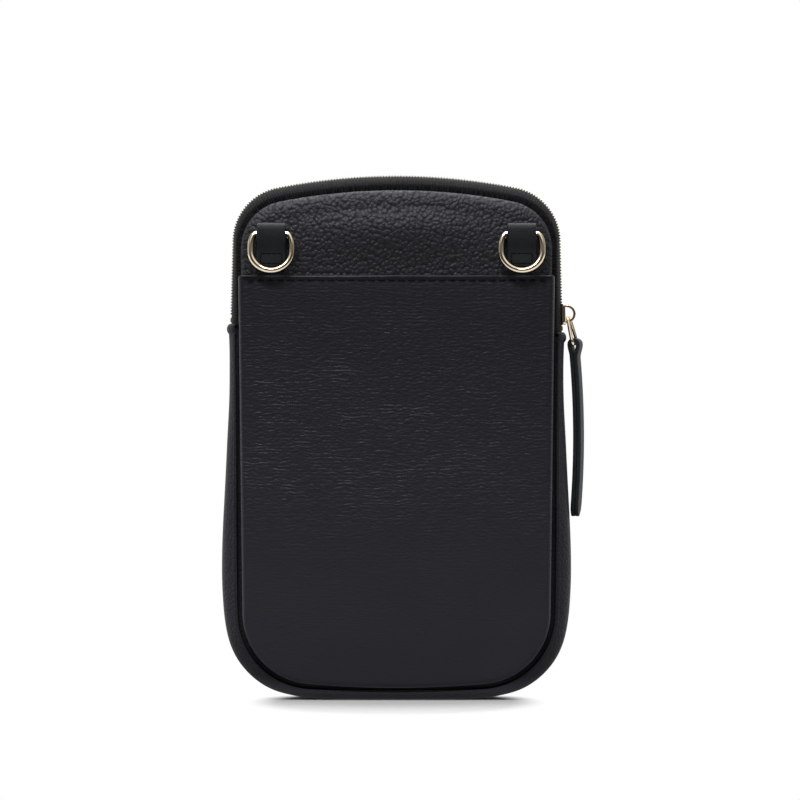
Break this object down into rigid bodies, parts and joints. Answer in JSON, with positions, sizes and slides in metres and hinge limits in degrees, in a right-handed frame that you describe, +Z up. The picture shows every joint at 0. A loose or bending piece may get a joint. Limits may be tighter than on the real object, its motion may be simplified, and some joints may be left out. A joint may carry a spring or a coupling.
{
  "type": "phone pouch",
  "caption": "Upright leather phone pouch with rounded corners, a zip over the top, a bulged gusset, a slip pocket on the back and D-rings on leather tabs for a strap.",
  "frame": {"origin": "middle of the flat base that the pouch stands on", "axes": "+Z up, +X to the right as seen from the back, -Y out of the back with the slip pocket and the D-rings"},
  "size_m": [0.1246, 0.0381, 0.18],
  "materials": {
    "pebbled_leather": "black full-grain leather with an even pebbled grain, soft sheen",
    "smooth_leather": "black leather with fine creases, soft sheen",
    "trim_leather": "black smooth leather with painted cut edges",
    "zip_tape": "black woven polyester tape",
    "zip_metal": "polished pale gold metal",
    "gold_hardware": "polished pale gold plating",
    "stiffener_board": "plain fibre board",
    "lining": "plain black twill"
  },
  "bodies": {
    "pouch": {"back_panel": "pebbled_leather", "back_pocket": "smooth_leather", "front_panel": "pebbled_leather", "gusset_band": "smooth_leather", "back_zip_tape": "zip_tape", "front_zip_tape": "zip_tape", "back_zip_teeth": "zip_metal", "front_zip_teeth": "zip_metal", "zip_bottom_stop": "zip_metal", "zip_top_stops": "zip_metal", "left_zip_end_tab": "trim_leather", "right_zip_end_tab": "trim_leather", "left_ring_tab": "trim_leather", "right_ring_tab": "trim_leather", "back_board": "stiffener_board", "front_board": "stiffener_board", "back_lining": "lining", "front_lining": "lining", "gusset_lining": "lining"},
    "slider": {"zip_slider": "gold_hardware"},
    "link": {"puller_link": "gold_hardware"},
    "strap": {"puller_strap": "trim_leather"},
    "left_ring": {"left_d_ring": "gold_hardware"},
    "right_ring": {"right_d_ring": "gold_hardware"}
  },
  "joints": [
    {"name": "slider_travel", "type": "slide", "parent": "pouch", "child": "slider", "axis": [-0.0256, 0, 0.9997], "range_m": [0, 0.021], "deforming": ["back_zip_teeth", "front_zip_teeth"]},
    {"name": "link_swing", "type": "hinge", "parent": "slider", "child": "link", "pos_m": [0.05926, 0, 0.1311], "axis": [-0.2079, -0.9781, 0], "range_deg": [0, 140]},
    {"name": "strap_swing", "type": "hinge", "parent": "link", "child": "strap", "pos_m": [0.06151, -0.00048, 0.12188], "axis": [-0.2079, -0.9781, 0], "range_deg": [0, 50]},
    {"name": "left_ring_swing", "type": "hinge", "parent": "pouch", "child": "left_ring", "pos_m": [-0.0429, -0.0149, 0.1595], "axis": [-1, 0, 0], "range_deg": [0, 165]},
    {"name": "right_ring_swing", "type": "hinge", "parent": "pouch", "child": "right_ring", "pos_m": [0.0429, -0.0149, 0.1595], "axis": [-1, 0, 0], "range_deg": [0, 165]}
  ]
}
